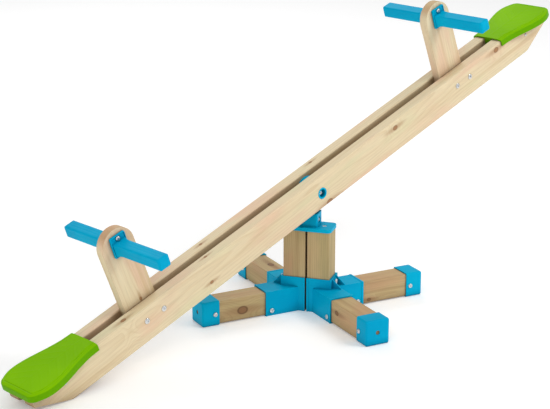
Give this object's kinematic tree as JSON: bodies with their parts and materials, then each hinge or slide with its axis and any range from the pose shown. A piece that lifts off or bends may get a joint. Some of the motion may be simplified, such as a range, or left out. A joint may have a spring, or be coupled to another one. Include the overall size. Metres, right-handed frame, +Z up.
{
  "type": "seesaw",
  "caption": "Swivelling timber garden seesaw: tilting twin-rail beam with moulded seats, board-mounted hand grips and a low four-armed base.",
  "frame": {"origin": "on the ground, on the swivel axis between the two posts; the floor_rest mount is 8 mm from it, on the right post's underside", "axes": "+Z up; +X is the beam's horizontal direction, from its low seat to its high seat at rest; +Y completes the right-handed frame and is the tilt axis's direction"},
  "size_m": [2.156, 0.738, 0.8794],
  "materials": {
    "beam_pine": "planed pale pine, satin",
    "base_pine": "pressure-treated pine, olive-tan, satin",
    "blue_plastic": "moulded, semi-gloss blue",
    "green_plastic": "moulded, semi-gloss lime green",
    "zinc_steel": "bright zinc plate",
    "white_nylon": "natural nylon"
  },
  "bodies": {
    "base": {"bracket_left": "blue_plastic", "bracket_right": "blue_plastic", "bracket_screw_left": "zinc_steel", "bracket_screw_right": "zinc_steel", "cap_screw_front_left": "zinc_steel", "cap_screw_front_right": "zinc_steel", "cap_screw_rear_left": "zinc_steel", "cap_screw_rear_right": "zinc_steel", "end_cap_front_left": "blue_plastic", "end_cap_front_right": "blue_plastic", "end_cap_rear_left": "blue_plastic", "end_cap_rear_right": "blue_plastic", "foot_beam_front_left": "base_pine", "foot_beam_front_right": "base_pine", "foot_beam_rear_left": "base_pine", "foot_beam_rear_right": "base_pine", "pivot_bracket": "blue_plastic", "plate_screw_left": "zinc_steel", "plate_screw_right": "zinc_steel", "post_left": "base_pine", "post_right": "base_pine", "sleeve_bolt_front_left": "zinc_steel", "sleeve_bolt_front_right": "zinc_steel", "sleeve_bolt_rear_left": "zinc_steel", "sleeve_bolt_rear_right": "zinc_steel", "spindle_cross_bolt": "zinc_steel", "spindle_cross_nut": "zinc_steel", "spindle_lock_nut": "zinc_steel", "swivel_spindle": "zinc_steel", "thrust_washer": "white_nylon"},
    "swivel_head": {"swivel_head": "blue_plastic"},
    "beam": {"clamp_bolt_high_1": "zinc_steel", "clamp_bolt_high_2": "zinc_steel", "clamp_bolt_low_1": "zinc_steel", "clamp_bolt_low_2": "zinc_steel", "clamp_nut_high_1": "zinc_steel", "clamp_nut_high_2": "zinc_steel", "clamp_nut_low_1": "zinc_steel", "clamp_nut_low_2": "zinc_steel", "grip_bolt_high": "zinc_steel", "grip_bolt_low": "zinc_steel", "grip_high_far": "blue_plastic", "grip_high_near": "blue_plastic", "grip_low_far": "blue_plastic", "grip_low_near": "blue_plastic", "grip_nut_high": "zinc_steel", "grip_nut_low": "zinc_steel", "handle_board_high": "beam_pine", "handle_board_low": "beam_pine", "pivot_bolt": "zinc_steel", "pivot_bush_far": "blue_plastic", "pivot_bush_near": "blue_plastic", "pivot_nut": "zinc_steel", "rail_far": "beam_pine", "rail_near": "beam_pine", "seat_high": "green_plastic", "seat_low": "green_plastic"}
  },
  "joints": [
    {"name": "swivel", "type": "hinge", "parent": "base", "child": "swivel_head", "pos_m": [0, 0, 0.31], "axis": [0, 0, 1], "continuous": true},
    {"name": "tilt", "type": "hinge", "parent": "swivel_head", "child": "beam", "pos_m": [0, 0, 0.37589], "axis": [0, 1, 0], "range_deg": [0, 38.5]}
  ]
}
